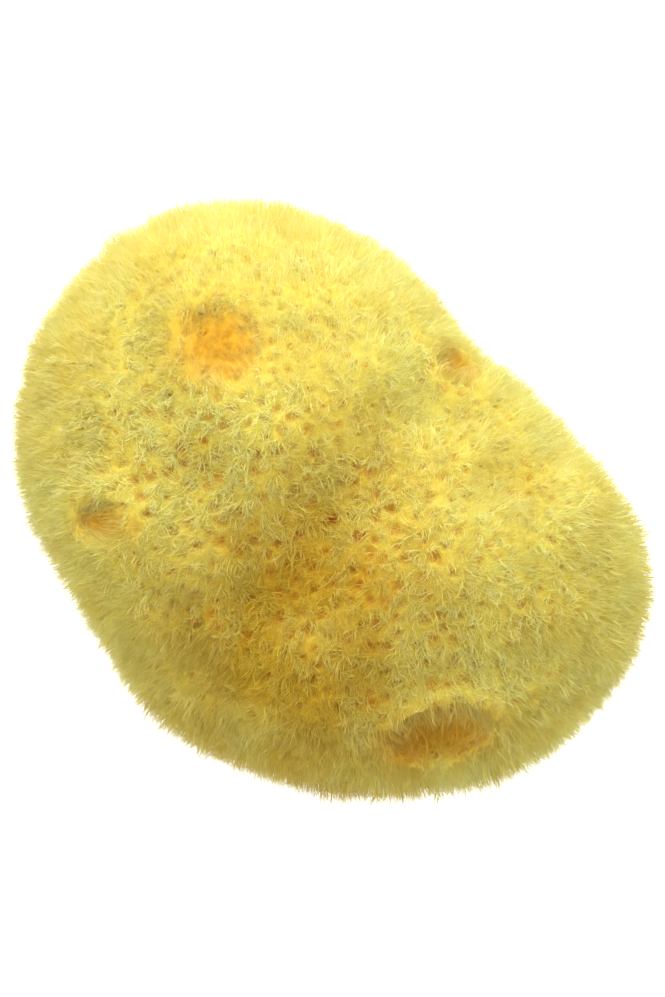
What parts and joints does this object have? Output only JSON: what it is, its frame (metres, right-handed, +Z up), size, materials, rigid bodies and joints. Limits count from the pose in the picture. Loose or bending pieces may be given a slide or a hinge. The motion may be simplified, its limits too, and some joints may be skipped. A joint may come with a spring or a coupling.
{
  "type": "sea sponge",
  "caption": "Soft natural bath sponge with rounded lobes, a fine fibrous nap, open water channels and a flat cut base that it rests on.",
  "frame": {"origin": "middle of the bounding box at the flat cut base", "axes": "+Z up from the cut base, +X along the sponge's length towards its lower lobe, +Y across it towards the notch"},
  "size_m": [0.0986, 0.0746, 0.0501],
  "materials": {
    "spongin": "dry, soft and fibrous, straw yellow at the tips and amber in the pores"
  },
  "bodies": {
    "root": {"sponge": "spongin"}
  },
  "joints": []
}
